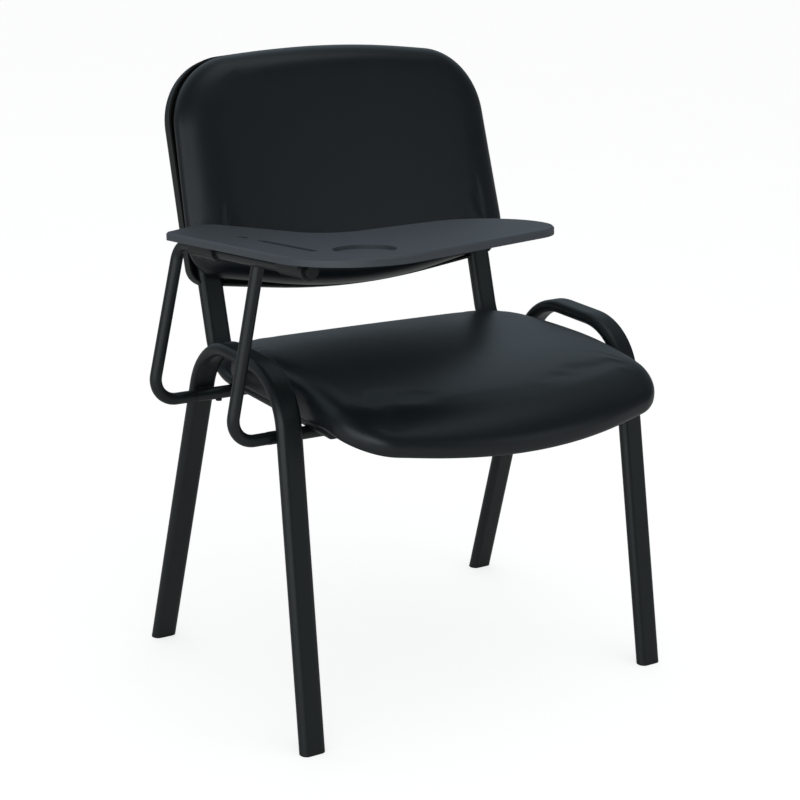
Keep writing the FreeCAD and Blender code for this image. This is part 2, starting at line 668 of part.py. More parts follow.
parts["back_shell_screws"] = set_on_back(Part.makeCompound(shell_screws))

# Tablet frame: the rear tube bends from bar to post to rod, the front post meets the rod

tilt = math.radians(ROD_TILT)
along_rod = V(0, math.cos(tilt), -math.sin(tilt))
off_rod = V(0, math.sin(tilt), math.cos(tilt))
rod_x = -cross_x - ROD_OUT
rod_origin = V(rod_x, 0, ROD_Z)
rod_front = rod_origin + along_rod * ROD_FRONT
bar_start_x = -cross_x - WELD_GAP


def post_foot(out, top):
    """Where a post's centre line, given by how far out it is and by its top, meets the bar's."""
    low = V(-cross_x - out, top.y, cross_z + POST_UP)
    return low - (top - low) * (POST_UP / (top.z - low.z))


rear_top = V(rod_x, cross_y, ROD_Z - math.tan(tilt) * cross_y)
front_top = V(rod_x + JOINT_INSET, -cross_y, ROD_Z + math.tan(tilt) * cross_y)
rear_path = rounded(
    [V(bar_start_x, cross_y, cross_z), post_foot(REAR_POST_OUT, rear_top), rear_top, rod_front],
    [BAR_BEND, ROD_BEND])
bar_bore = BAR_DIA - 2 * BAR_WALL
spigot_dia = cross_bore - 2 * SLIP
spigot_bore = spigot_dia - 2 * BAR_WALL


def swaged(path, y):
    """A round tube along the path, its start narrowed to fit inside the cross tube at y."""
    tube = round_sweep(path, BAR_DIA).cut(round_sweep(path, bar_bore))
    neck = V(bar_start_x - BAR_SHOULDER, y, cross_z)
    start = V(bar_start_x, y, cross_z)
    inner = V(BAR_INSERT - cross_x, y, cross_z)
    spigot = rod_between(neck, start, BAR_DIA).fuse(rod_between(start, inner, spigot_dia))
    return tube.fuse(spigot).cut(rod_between(neck, inner, spigot_bore)).removeSplitter()


rear_tube = swaged(rear_path, cross_y)
front_path = rounded(
    [V(bar_start_x, -cross_y, cross_z), post_foot(FRONT_POST_OUT, front_top), front_top], [BAR_BEND])
front_post = swaged(front_path, -cross_y)
rod_room = rod_between(rod_front, rod_origin, BAR_DIA + 2 * WELD_GAP)
front_post = front_post.cut(rod_room)
post_solids = sorted(front_post.Solids, key=lambda solid: solid.Volume)
front_post = post_solids[-1]
tube_screws = []
for y in (-cross_y, cross_y):
    seat = V(tube_screw_x, y, cross_z - CROSS_DIA / 2)
    screw_end = cross_z - spigot_bore / 2 + BAR_WALL
    hole = rod_between(seat, V(tube_screw_x, y, screw_end), screw_hole)
    rear_tube = rear_tube.cut(hole)
    front_post = front_post.cut(hole)
    tube_screws.append(bolt(seat, V(0, 0, 1), screw_end - seat.z, SCREW_DIA, SCREW_HEAD_DIA, SCREW_HEAD))
parts["tablet_rear_tube"] = rear_tube
parts["tablet_front_post"] = front_post
parts["tablet_tube_screws"] = Part.makeCompound(tube_screws)


def by_rod(shape):
    """The shape moved from the XY plane to the rod's axes: x across, y along the rod, z off it."""
    result = shape.copy()
    place = FreeCAD.Placement(rod_origin, FreeCAD.Rotation(V(1, 0, 0), along_rod, off_rod, "XYZ"))
    result.Placement = place.multiply(result.Placement)
    return result


end_flange = rod_between(V(0, ROD_FRONT - PLUG_FLANGE, 0), V(0, ROD_FRONT, 0), BAR_DIA)
end_plug = rod_between(V(0, ROD_FRONT, 0), V(0, ROD_FRONT + PLUG_LENGTH, 0), bar_bore - 2 * SLIP)
parts["rod_end_cap"] = by_rod(end_flange.fuse(end_plug).removeSplitter())

# Writing tablet: moulded board with a rim, ribs, hinge pad, pen grooves and round recess


def flat(x, y):
    """A point of the tablet's plan in the rod's axes."""
    return V(x, y / math.cos(tilt))


tablet_low = TABLET_TOP - TABLET_THICK
skin_low = TABLET_TOP - TABLET_SKIN
tablet_outline = rounded([flat(x, y) for x, y, radius in TABLET_CORNERS],
                         [radius for x, y, radius in TABLET_CORNERS], closed=True)


def tablet_layer(low, high, inset):
    """The tablet's outline drawn in by inset, between two heights off the rod."""
    outline = tablet_outline.makeOffset2D(-inset) if inset else tablet_outline
    layer = prism(outline, V(0, 0, high - low))
    layer.translate(V(0, 0, low))
    return layer


tablet = tablet_layer(tablet_low, TABLET_TOP, 0.0)
top_edges = [edge for edge in tablet.Edges if abs(edge.BoundBox.ZMin - TABLET_TOP) < 1e-6]
tablet = tablet.makeChamfer(TABLET_EDGE, top_edges)
tablet = tablet.cut(tablet_layer(tablet_low, skin_low, TABLET_RIM))
inside = tablet_layer(tablet_low, skin_low, TABLET_RIM - 1.0)
pad_rear = CLIP_SPANS["rear_hinge_clip"][0] + CLIP_SCREW_INSET
pad = slab(V(PAD_REACH[0], ROD_FRONT, PAD_LOW), V(PAD_REACH[1], pad_rear, skin_low))
tablet = tablet.fuse(pad.common(inside))
for x in RIB_PLACES:
    rib = slab(V(x, -BIG, tablet_low), V(x + RIB_WIDTH, BIG, skin_low))
    tablet = tablet.fuse(rib.common(inside))
cup = flat(*CUP_CENTRE)
floor_low = TABLET_TOP - CUP_DEPTH - TABLET_SKIN
up = V(0, 0, 1)
boss = rod_between(cup + up * floor_low, cup + up * skin_low, CUP_DIA + 2 * TABLET_RIM)
tablet = tablet.fuse(boss.common(inside))
tablet = tablet.cut(rod_between(cup + up * (TABLET_TOP - CUP_DEPTH), cup + up * (TABLET_TOP + 1), CUP_DIA))
for rear, front in GROOVE_SPANS:
    half_width = GROOVE_WIDTH / 2
    ends = [flat(GROOVE_X, rear - half_width), flat(GROOVE_X, front + half_width)]
    oval = flat_oval((ends[0] - ends[1]).Length + GROOVE_WIDTH, GROOVE_WIDTH)
    oval.rotate(V(0, 0, 0), V(0, 0, 1), 90)
    oval.translate((ends[0] + ends[1]) * 0.5 + V(0, 0, TABLET_TOP - GROOVE_DEPTH))
    tablet = tablet.cut(prism(oval, V(0, 0, GROOVE_DEPTH + 1)))

clip_screws = []
clip_outer = BAR_DIA / 2 + RUN_GAP + CLIP_WALL
flange_low = PAD_LOW - CLIP_FLANGE
for name, (rear, front) in CLIP_SPANS.items():
    body = rod_between(V(0, front, 0), V(0, rear, 0), 2 * clip_outer)
    body = body.fuse(slab(V(-clip_outer, front, 0), V(clip_outer, rear, PAD_LOW)))
    body = body.fuse(slab(V(-clip_outer, front, flange_low), V(PAD_REACH[1] - 2, rear, PAD_LOW)))
    body = body.cut(rod_between(V(0, front, 0), V(0, rear, 0), BAR_DIA + 2 * RUN_GAP))
    for s in (rear - CLIP_SCREW_INSET, front + CLIP_SCREW_INSET):
        seat = V(CLIP_SCREW_X, s, flange_low)
        screw_end = V(CLIP_SCREW_X, s, TABLET_TOP - TABLET_SKIN / 2)
        body = body.cut(rod_between(seat, screw_end, screw_hole))
        tablet = tablet.cut(rod_between(seat, screw_end, screw_thread))
        clip_screws.append(bolt(seat, up, screw_end.z - seat.z, SCREW_DIA, SCREW_HEAD_DIA, SCREW_HEAD))
    parts[name] = by_rod(body.removeSplitter())
parts["tablet_top"] = by_rod(tablet.removeSplitter())
parts["hinge_clip_screws"] = by_rod(Part.makeCompound(clip_screws))

# Stop collars, fixed on the rod in front of each clip, with an arm under the tablet
for name, clip in (("rear_stop_collar", "rear_hinge_clip"), ("front_stop_collar", "front_hinge_clip")):
    rear = CLIP_SPANS[clip][1] - SEAT_GAP
    front = rear - COLLAR_WIDTH
    collar = rod_between(V(0, front, 0), V(0, rear, 0), COLLAR_DIA)
    arm_top = PAD_LOW - SEAT_GAP
    web = slab(V(0, front, 0), V(COLLAR_DIA / 2, rear, arm_top))
    arm = slab(V(0, front, arm_top - COLLAR_ARM_THICK), V(COLLAR_ARM, rear, arm_top))
    bore = rod_between(V(0, front, 0), V(0, rear, 0), BAR_DIA + 2 * RUN_GAP)
    collar = collar.fuse(web).fuse(arm).cut(bore)
    parts[name] = by_rod(collar.removeSplitter())

# The origin goes on the floor under the middle of the whole chair's box
whole = Part.makeCompound(list(parts.values())).optimalBoundingBox(False, False)
shift = V(-whole.Center.x, -whole.Center.y, 0)
os.makedirs("parts", exist_ok=True)
for name, shape in parts.items():
    shape.translate(shift)
    shape.exportStep("parts/" + name + ".step")
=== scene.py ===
"""Looks of the stacking conference chair with a fold-up writing tablet."""
import math

import bpy
import numpy as np
from mathutils import Matrix, Vector


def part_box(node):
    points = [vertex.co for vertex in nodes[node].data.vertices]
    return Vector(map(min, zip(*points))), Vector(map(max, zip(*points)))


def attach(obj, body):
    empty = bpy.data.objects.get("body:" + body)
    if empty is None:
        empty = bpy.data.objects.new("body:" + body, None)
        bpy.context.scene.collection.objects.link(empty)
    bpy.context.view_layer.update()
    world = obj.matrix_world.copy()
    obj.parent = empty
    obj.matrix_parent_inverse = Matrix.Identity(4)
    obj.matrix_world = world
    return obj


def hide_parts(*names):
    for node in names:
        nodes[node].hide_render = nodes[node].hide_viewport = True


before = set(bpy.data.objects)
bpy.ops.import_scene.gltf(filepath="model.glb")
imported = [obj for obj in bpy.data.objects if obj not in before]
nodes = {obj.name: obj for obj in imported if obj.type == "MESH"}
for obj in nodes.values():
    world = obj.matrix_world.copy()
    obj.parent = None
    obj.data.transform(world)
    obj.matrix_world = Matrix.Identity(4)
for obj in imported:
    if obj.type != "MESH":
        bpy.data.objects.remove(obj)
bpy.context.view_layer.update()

# Leg frames, cross tubes, seat-back tubes and the tablet's tubes with their screws. They are bent
# steel tube, sprayed with black powder that is baked on, which leaves a satin skin with a very fine
# orange peel. The skin is scuffed a little near the floor.


class Value:
    """One socket of a node tree: operators on it add Math nodes, node() adds any other node."""

    def __init__(self, tree, socket=None):
        self.tree = tree
        self.socket = socket

    def node(self, kind, settings=None, sockets=None, out=0):
        made = self.tree.nodes.new(kind)
        for key, setting in (settings or {}).items():
            setattr(made, key, setting)
        for key, value in (sockets or {}).items():
            if isinstance(value, Value):
                self.tree.links.new(value.socket, made.inputs[key])
            else:
                made.inputs[key].default_value = value
        return Value(self.tree, made.outputs[out] if len(made.outputs) else None)

    def math(self, operation, *values):
        return self.node("ShaderNodeMath", {"operation": operation}, dict(enumerate(values)))

    def __add__(self, other):
        return self.math("ADD", self, other)

    def __sub__(self, other):
        return self.math("SUBTRACT", self, other)

    def __mul__(self, other):
        return self.math("MULTIPLY", self, other)

    def __truediv__(self, other):
        return self.math("DIVIDE", self, other)

    def __radd__(self, other):
        return self.math("ADD", other, self)

    def __rsub__(self, other):
        return self.math("SUBTRACT", other, self)

    def __rmul__(self, other):
        return self.math("MULTIPLY", other, self)

    def __rtruediv__(self, other):
        return self.math("DIVIDE", other, self)

    def between(self, low, high):
        """0 below low, 1 above high, and smooth between them."""
        return self.node("ShaderNodeMapRange", {"interpolation_type": "SMOOTHSTEP"}, {
            "Value": self, "From Min": low, "From Max": high})

    def noise(self, scale, detail=2.0, roughness=0.5):
        return self.node("ShaderNodeTexNoise", None, {
            "Vector": self, "Scale": scale, "Detail": detail, "Roughness": roughness}, "Fac")

    def mix(self, dark, pale):
        """A colour between two colours, by this value."""
        return self.node("ShaderNodeMix", {"data_type": "RGBA"}, {"Factor": self, "A": dark, "B": pale}, 2)

    def bump(self, depth, strength):
        """A normal from this value as height."""
        return self.node("ShaderNodeBump", None, {
            "Height": self, "Distance": depth, "Strength": strength})


def new_finish(name):
    """An empty material, and the Object coordinates in its tree."""
    material = bpy.data.materials.new(name)
    material.use_nodes = True
    material.node_tree.nodes.clear()
    return material, Value(material.node_tree).node("ShaderNodeTexCoord", out="Object")


def shade(material, place, **sockets):
    """Ends a material with a Principled shader whose sockets get these values and links."""
    named = {key.replace("_", " "): value for key, value in sockets.items()}
    skin = place.node("ShaderNodeBsdfPrincipled", None, named)
    place.node("ShaderNodeOutputMaterial", None, {"Surface": skin})
    return material


def dress(material, *names):
    """Gives CAD nodes a material."""
    for name in names:
        nodes[name].data.materials.clear()
        nodes[name].data.materials.append(material)


powder_coat, place = new_finish("powder_coat")
height = place.node("ShaderNodeSeparateXYZ", None, {"Vector": place}, "Z")
clouds = place.noise(9.0, 3.0)
peel = place.noise(850.0, 2.0, 0.55)
scuffs = place.noise(120.0, 5.0, 0.7).between(0.58, 0.72) * (1 - height.between(0.004, 0.05))
coat = (clouds * 0.5 + scuffs * 0.5).mix((0.0042, 0.0069, 0.0076, 1), (0.0080, 0.0118, 0.0128, 1))
shade(powder_coat, place,
      Base_Color=coat,
      Roughness=0.36 + clouds * 0.08 + scuffs * 0.2,
      Normal=peel.bump(0.00006, 0.35))
dress(powder_coat, "right_leg_frame", "left_leg_frame", "front_cross_tube", "rear_cross_tube",
      "right_seat_back_tube", "left_seat_back_tube", "tablet_rear_tube", "tablet_front_post",
      "tablet_tube_screws")

# Foot caps, tube plugs, seat pan, back shell, hinge clips and collars. They are injection moulded
# in black plastic with a fine spark-eroded grain, pushed or screwed on, and duller than the steel.
moulded_black, place = new_finish("moulded_black")
grain = place.noise(1900.0, 3.0, 0.6)
flow = place.noise(14.0, 2.0)
shade(moulded_black, place,
      Base_Color=flow.mix((0.0048, 0.0060, 0.0063, 1), (0.0082, 0.0097, 0.0100, 1)),
      Roughness=0.42 + grain * 0.16,
      Normal=grain.bump(0.00008, 0.4))
dress(moulded_black, "front_right_foot_cap", "front_left_foot_cap", "rear_right_foot_cap",
      "rear_left_foot_cap", "cross_tube_plugs", "rail_end_plugs", "upright_end_plugs", "seat_pan",
      "back_shell", "front_hinge_clip", "rear_hinge_clip", "front_stop_collar", "rear_stop_collar",
      "rod_end_cap")

# Boards under the seat and behind the back. They are moulded birch plywood, drilled for the tee
# nuts, and hidden once the covers are stapled on.
birch_ply, place = new_finish("birch_ply")
along = place.node("ShaderNodeMapping", None, {"Vector": place, "Scale": (60.0, 6.0, 220.0)})
rings = along.noise(1.0, 4.0, 0.6)
shade(birch_ply, place,
      Base_Color=rings.mix((0.36, 0.23, 0.12, 1), (0.58, 0.42, 0.25, 1)),
      Roughness=0.55 + rings * 0.2,
      Normal=rings.bump(0.0001, 0.3))
dress(birch_ply, "seat_board", "back_board")

# Bolts, tee nuts and screws. They are zinc-plated steel, turned, with fine marks.
zinc, place = new_finish("zinc")
marks = place.noise(700.0, 4.0, 0.7)
shade(zinc, place,
      Base_Color=marks.mix((0.42, 0.43, 0.45, 1), (0.62, 0.63, 0.65, 1)),
      Metallic=1.0,
      Roughness=0.28 + marks * 0.2,
      Normal=marks.bump(0.00003, 0.3))
dress(zinc, "seat_bolts", "seat_tee_nuts", "back_bolts", "back_tee_nuts", "back_shell_screws",
      "hinge_clip_screws")

# Weld beads. Short runs of filler with fine ripples in the corners between the cross tubes and the
# legs and rails, laid before the frame was sprayed, so they have the same black skin.
mid_x = (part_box("right_leg_frame")[0][0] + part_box("left_leg_frame")[1][0]) / 2
mid_y = (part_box("right_leg_frame")[0][1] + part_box("right_leg_frame")[1][1]) / 2


def weld_beads(name, middles, half_lengths, radius):
    """Beads along X, each a round bar whose radius falls to nothing at both ends as an ellipse does
    and swells with a sine along it, as a weld's ripples do."""
    count, long, round_ = len(middles), 41, 12
    share = np.linspace(-1, 1, long)
    turn = np.linspace(0, 2 * np.pi, round_, endpoint=False)
    along = half_lengths[:, None] * share
    swell = radius * np.sqrt(np.maximum(1 - share ** 6, 1e-3)) * (1 + 0.10 * np.sin(along / 0.0004))
    x = np.broadcast_to(along[:, :, None], (count, long, round_))
    points = np.stack([x, swell[:, :, None] * np.cos(turn), swell[:, :, None] * np.sin(turn)], axis=-1)
    points = points + middles[:, None, None]
    ends = points[:, [0, -1]].mean(axis=2)
    index = np.arange(count * long * round_).reshape(count, long, round_)
    tips = index.size + np.arange(2 * count).reshape(count, 2)
    beside = np.roll(index, -1, axis=2)
    quads = np.stack([index[:, :-1], beside[:, :-1], beside[:, 1:], index[:, 1:]], axis=-1).reshape(-1, 4)
    first = np.broadcast_to(tips[:, :1], (count, round_))
    last = np.broadcast_to(tips[:, 1:], (count, round_))
    caps = np.concatenate([
        np.stack([first, beside[:, 0], index[:, 0]], axis=-1).reshape(-1, 3),
        np.stack([last, index[:, -1], beside[:, -1]], axis=-1).reshape(-1, 3)])
    mesh = bpy.data.meshes.new(name)
    places = np.vstack([points.reshape(-1, 3), ends.reshape(-1, 3)])
    mesh.from_pydata(places, [], quads.tolist() + caps.tolist())
    mesh.shade_smooth()
    piece = bpy.data.objects.new(name, mesh)
    bpy.context.scene.collection.objects.link(piece)
    return piece


tube_y, tube_z, leg_lean = 0.09228, 0.3714, math.radians(12.7)
rail_x = 0.2146
leg_x = 0.26680 - 0.014842 * tube_z
side, end, above = (grid.ravel() for grid in np.meshgrid([-1, 1], [-1, 1], [-1, 1]))
touch_y = tube_y + 0.0081 * math.cos(leg_lean)
touch_z = tube_z + 0.0081 * math.sin(leg_lean)
at_legs = np.stack([
    mid_x + side * leg_x,
    mid_y + end * (touch_y - above * 0.0055 * math.sin(leg_lean) - 0.0010),
    touch_z + above * 0.0055 * math.cos(leg_lean)], axis=1)
at_rails = np.stack([
    mid_x + side * rail_x, mid_y + end * tube_y + above * 0.0066, np.full(8, 0.3765)], axis=1)
half_lengths = np.repeat([0.0095, 0.0085], 8)
welds = weld_beads("weld_beads", np.vstack([at_legs, at_rails]), half_lengths, 0.0018)
welds.data.materials.append(powder_coat)
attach(welds, "chair")

# Seat cushion. Cut foam on the board under black leatherette that is pulled over the edges and
# stapled below, so it is taut and crowned, bows out at the front and hides the pan's rim.


def rounded_loop(corners, radii, split_corners, counts, samples=64):
    """A convex polygon with rounded corners as a closed loop of points with outward normals.

    Each corner's arc turns evenly from one tangent point to the other. The loop starts in the middle
    of the first split corner, and each run from one split corner to the next has its own count of
    points, even along its length.
    """
    corners = np.asarray(corners, float)
    radii = np.asarray(radii, float)[:, None]
    back = np.roll(corners, 1, axis=0) - corners
    ahead = np.roll(corners, -1, axis=0) - corners
    back /= np.linalg.norm(back, axis=1, keepdims=True)
    ahead /= np.linalg.norm(ahead, axis=1, keepdims=True)
    half_angle = np.arccos(np.clip((back * ahead).sum(1, keepdims=True), -1, 1)) / 2
    inwards = back + ahead
    inwards /= np.linalg.norm(inwards, axis=1, keepdims=True)
    centres = corners + inwards * radii / np.sin(half_angle)
    first = corners + back * radii / np.tan(half_angle) - centres
    last = corners + ahead * radii / np.tan(half_angle) - centres
    turn = (np.pi - 2 * half_angle)[:, :, None]
    share = np.linspace(0, 1, samples)[None, :, None]
    leaving = np.sin((1 - share) * turn) * first[:, None]
    coming = np.sin(share * turn) * last[:, None]
    points = (centres[:, None] + (leaving + coming) / np.sin(turn)).reshape(-1, 2)
    middles = np.asarray(split_corners) * samples + samples // 2
    points = np.roll(points, -middles[0], axis=0)
    points = np.vstack([points, points[:1]])
    stops = np.append(middles - middles[0], len(points) - 1)
    length = np.append(0, np.cumsum(np.linalg.norm(np.diff(points, axis=0), axis=1)))
    places = np.concatenate([
        np.linspace(length[a], length[b], n, endpoint=False) for a, b, n in zip(stops, stops[1:], counts)])
    loop = np.stack([np.interp(places, length, points[:, k]) for k in (0, 1)], axis=1)
    along = np.roll(loop, -1, axis=0) - np.roll(loop, 1, axis=0)
    along /= np.linalg.norm(along, axis=1, keepdims=True)
    return loop, np.stack([along[:, 1], -along[:, 0]], axis=1)


def fill_loop(loop, wide, tall):
    """Points inside a closed loop of four runs, wide, tall, wide and tall long.

    A Coons patch: the blend of the lower and upper runs plus that of the left and right runs, less
    the blend of the four corners.
    """
    low = loop[:wide + 1]
    right = loop[wide:wide + tall + 1]
    high = loop[wide + tall:2 * wide + tall + 1][::-1]
    left = np.vstack([loop[2 * wide + tall:], loop[:1]])[::-1]
    u = np.linspace(0, 1, wide + 1)[None, :, None]
    v = np.linspace(0, 1, tall + 1)[:, None, None]
    across = (1 - v) * low[None] + v * high[None]
    upwards = (1 - u) * left[:, None] + u * right[:, None]
    corners = ((1 - u) * (1 - v) * low[0] + u * (1 - v) * low[-1]
               + (1 - u) * v * high[0] + u * v * high[-1])
    return across + upwards - corners


def pad_object(name, top, rows, bottom):
    """A closed pad: a top patch, rows of points round it from top to bottom, and a bottom patch."""
    tall, wide = top.shape[0] - 1, top.shape[1] - 1
    patch = np.arange(top.shape[0] * top.shape[1]).reshape(top.shape[:2])
    border = np.concatenate([patch[0, :-1], patch[:-1, -1], patch[-1, :0:-1], patch[:0:-1, 0]])
    ring = patch.size + np.arange(rows.shape[0] * rows.shape[1]).reshape(rows.shape[:2])
    under = ring[-1, -1] + 1
    loops = np.vstack([border[None], ring, under + border[None]])
    square = np.stack([
        patch[:-1, :-1], patch[:-1, 1:], patch[1:, 1:], patch[1:, :-1]], axis=-1).reshape(-1, 4)
    beside = np.roll(loops, -1, axis=1)
    strips = np.stack([loops[1:], beside[1:], beside[:-1], loops[:-1]], axis=-1).reshape(-1, 4)
    faces = np.vstack([square, strips, under + square[:, ::-1]])
    points = np.vstack([top.reshape(-1, 3), rows.reshape(-1, 3), bottom.reshape(-1, 3)])
    mesh = bpy.data.meshes.new(name)
    mesh.from_pydata(points, [], faces.tolist())
    mesh.shade_smooth()
    piece = bpy.data.objects.new(name, mesh)
    bpy.context.scene.collection.objects.link(piece)
    return piece, len(border)


def positions(mesh):
    """All vertex places of a mesh as an array."""
    flat = np.empty(len(mesh.vertices) * 3)
    mesh.vertices.foreach_get("co", flat)
    return flat.reshape(-1, 3)


def inflate(piece, held, most):
    """Blows a pad up with Cloth: held points stay, the others move by at most the given distance."""
    frames = 12
    rest = positions(piece.data)
    pins = piece.vertex_groups.new(name="held")
    pins.add(np.flatnonzero(held).tolist(), 1.0, "REPLACE")
    cloth = piece.modifiers.new("cover", "CLOTH")
    cloth.settings.quality = 6
    cloth.settings.mass = 0.1
    cloth.settings.tension_stiffness = 60
    cloth.settings.compression_stiffness = 60
    cloth.settings.bending_stiffness = 2
    cloth.settings.use_pressure = True
    cloth.settings.uniform_pressure_force = 1.0
    cloth.settings.effector_weights.gravity = 0
    cloth.settings.vertex_group_mass = "held"
    cloth.point_cache.frame_start = 1
    cloth.point_cache.frame_end = frames
    scene = bpy.context.scene
    for step in range(1, frames + 1):
        scene.frame_set(step)
    ready = piece.evaluated_get(bpy.context.evaluated_depsgraph_get())
    moved = positions(ready.data) - rest
    piece.modifiers.remove(cloth)
    piece.vertex_groups.remove(pins)
    scene.frame_set(1)
    far = np.linalg.norm(moved, axis=1, keepdims=True)
    moved *= most * np.tanh(far / most) / np.maximum(far, 1e-9)
    piece.data.vertices.foreach_set("co", (rest + moved).ravel())
    piece.data.update()


seat_half, seat_rear, seat_peak, seat_sweep = 0.238, 0.138, -0.276, 0.062
seat_front = seat_peak + 0.35 * seat_sweep
seat_wide, seat_tall = 96, 84
seat_loop, seat_out = rounded_loop(
    [(0, seat_peak), (seat_half, seat_peak + seat_sweep), (seat_half, seat_rear),
     (-seat_half, seat_rear), (-seat_half, seat_peak + seat_sweep)],
    [0.7 * seat_half ** 2 / seat_sweep, 0.062, 0.078, 0.078, 0.070],
    [1, 2, 3, 4], [seat_tall, seat_wide, seat_tall, seat_wide])
seat_loop, seat_out = np.roll(seat_loop, seat_wide, axis=0), np.roll(seat_out, seat_wide, axis=0)
hem_height, rim_top, board_top = 0.3887, 0.4000, 0.4096
fall_start, fall_radius = -0.1303, 0.298
crest_y, crest_z = -0.060, 0.4375
bend_y, bend_z, bend_radius, rail_top = 0.0948, 0.4455, 0.0500, 0.3955
lap, under_inset = 0.0087, 0.0095


def board_fall(y):
    """How far the board's front has curved down: a circle that starts level at fall_start."""
    ahead = np.clip(fall_start - y, 0, None)
    return fall_radius - np.sqrt(fall_radius ** 2 - ahead ** 2)


def seat_crown(x, y):
    """Height of the seat's upper side: a crest that falls by a power of the way to either end,
    less a shallow parabola across the seat."""
    ahead = np.clip((crest_y - y) / (crest_y - seat_front), 0, None)
    behind = np.clip((y - crest_y) / (seat_rear - crest_y), 0, None)
    return crest_z - 0.032 * ahead ** 2 - 0.0125 * behind ** 1.7 - 0.0008 * (x / seat_half) ** 2


def clear_of_tubes(points):
    """Lifts the cushion off the two seat-back tubes: at the rear corners, points below the tube's
    upper side go straight up on to it, and points past the inside of its bend go in to that circle."""
    x, y, z = np.moveaxis(points, -1, 0)
    beside = np.clip((0.0236 - np.abs(np.abs(x) - rail_x)) / 0.006, 0, 1)
    near = beside * np.clip((y - 0.066) / 0.012, 0, 1)
    near = near * near * (3 - 2 * near)
    away = np.hypot(y - bend_y, z - bend_z)
    scale = np.where(y > bend_y, np.minimum(1, bend_radius / np.maximum(away, 1e-6)), 1)
    over = np.where(y > bend_y, bend_z + (z - bend_z) * scale, np.maximum(z, rail_top))
    inward = np.where(y > bend_y, bend_y + (y - bend_y) * scale, y)
    return np.stack([x, y + near * (inward - y), z + near * (over - z)], axis=-1)


def ring(loop, outward, inset, heights):
    """A loop drawn in by an inset along its normals, at the heights given."""
    return np.column_stack([loop - inset * outward, heights])


to_front = np.clip(-seat_out[:, 1], 0, 1) ** 2
to_rear = np.clip(seat_out[:, 1], 0, 1) ** 2
to_side = seat_out[:, 0] ** 2
seat_loop = seat_loop - 0.0010 * seat_out
side_low = hem_height - board_fall(seat_loop[:, 1])
waist_share = 0.30 * to_front + 0.55 * to_rear + 0.34 * to_side
waist = side_low + waist_share * (seat_crown(*seat_loop.T) - side_low)
roll = (0.058 * to_front + 0.016 * to_rear + 0.030 * to_side)[:, None]
round_way = np.cumsum(np.linalg.norm(seat_loop - np.roll(seat_loop, 1, axis=0), axis=1))
gathers = np.clip(1 - np.abs(to_front - 0.5) / 0.42, 0, 1) * (0.5 + 0.5 * np.sin(round_way / 0.0021))
seat_rows = []
for angle in np.radians(np.linspace(82, 0, 14)):
    inset = roll * (1 - math.cos(angle))
    flat = seat_loop - inset * seat_out
    rise = waist + (seat_crown(*flat.T) - waist) * math.sin(angle)
    seat_rows.append(ring(seat_loop, seat_out, inset, rise))
for share in (0.2, 0.4, 0.58, 0.74, 0.87, 0.96, 1.0):
    inset = 0.0038 * share ** 4
    tucked = (inset + 0.0012 * share ** 2 * gathers * (share < 0.95))[:, None]
    seat_rows.append(ring(seat_loop, seat_out, tucked, waist - (waist - side_low) * share))
rim_low = rim_top - board_fall(seat_loop[:, 1])
seat_rows.append(ring(seat_loop, seat_out, 0.0034, side_low + 0.0015))
seat_rows.append(ring(seat_loop, seat_out, 0.0032, rim_low))
seat_rows.append(ring(seat_loop, seat_out, lap, rim_low))
seat_rows.append(ring(seat_loop, seat_out, lap, board_top - board_fall(seat_loop[:, 1])))
inner = fill_loop(seat_loop - roll * seat_out, seat_wide, seat_tall)
seat_top = np.dstack([inner, seat_crown(inner[..., 0], inner[..., 1])])
inner = fill_loop(seat_loop - under_inset * seat_out, seat_wide, seat_tall)
seat_under = np.dstack([inner, board_top - board_fall(inner[..., 1])])
seat_cushion, loop_size = pad_object(
    "seat_cushion", seat_top, clear_of_tubes(np.array(seat_rows)), clear_of_tubes(seat_under))
seat_cushion.data.transform(Matrix.Translation((mid_x + 0.0012, mid_y, 0)))
free = seat_top.shape[0] * seat_top.shape[1] + 16 * loop_size
inflate(seat_cushion, np.arange(len(seat_cushion.data.vertices)) >= free, 0.0011)

leatherette, place = new_finish("leatherette")
wander = place.node("ShaderNodeMix", {"data_type": "VECTOR"}, {
    "Factor": 0.0012, "A": place, "B": place.node("ShaderNodeTexNoise", None, {
        "Vector": place, "Scale": 260.0, "Detail": 2.0}, "Color")}, 1)
pebbles = wander.node("ShaderNodeTexVoronoi", {"feature": "DISTANCE_TO_EDGE"}, {
    "Vector": wander, "Scale": 720.0}, "Distance").between(0.0, 0.32)
pores = place.noise(2600.0, 2.0, 0.6)
stretch = place.noise(16.0, 3.0, 0.55)
skin = (pebbles * 0.6 + stretch * 0.4).mix((0.0036, 0.0058, 0.0074, 1), (0.0064, 0.0092, 0.0113, 1))
shade(leatherette, place,
      Base_Color=skin,
      Roughness=0.33 + stretch * 0.08 - pebbles * 0.05,
      Normal=(pebbles + pores * 0.25 + stretch * 1.5).bump(0.00014, 0.22))


def upholster(piece, fill, *replaced):
    """Covers a pad in leatherette, smooths it once more and puts it on the chair."""
    piece.data.materials.append(leatherette)
    smooth = piece.modifiers.new("smooth", "SUBSURF")
    smooth.levels = 1
    smooth.render_levels = 1
    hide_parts(*replaced)
    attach(piece, "chair")


upholster(seat_cushion, 0.85, "seat_cover", "seat_foam")

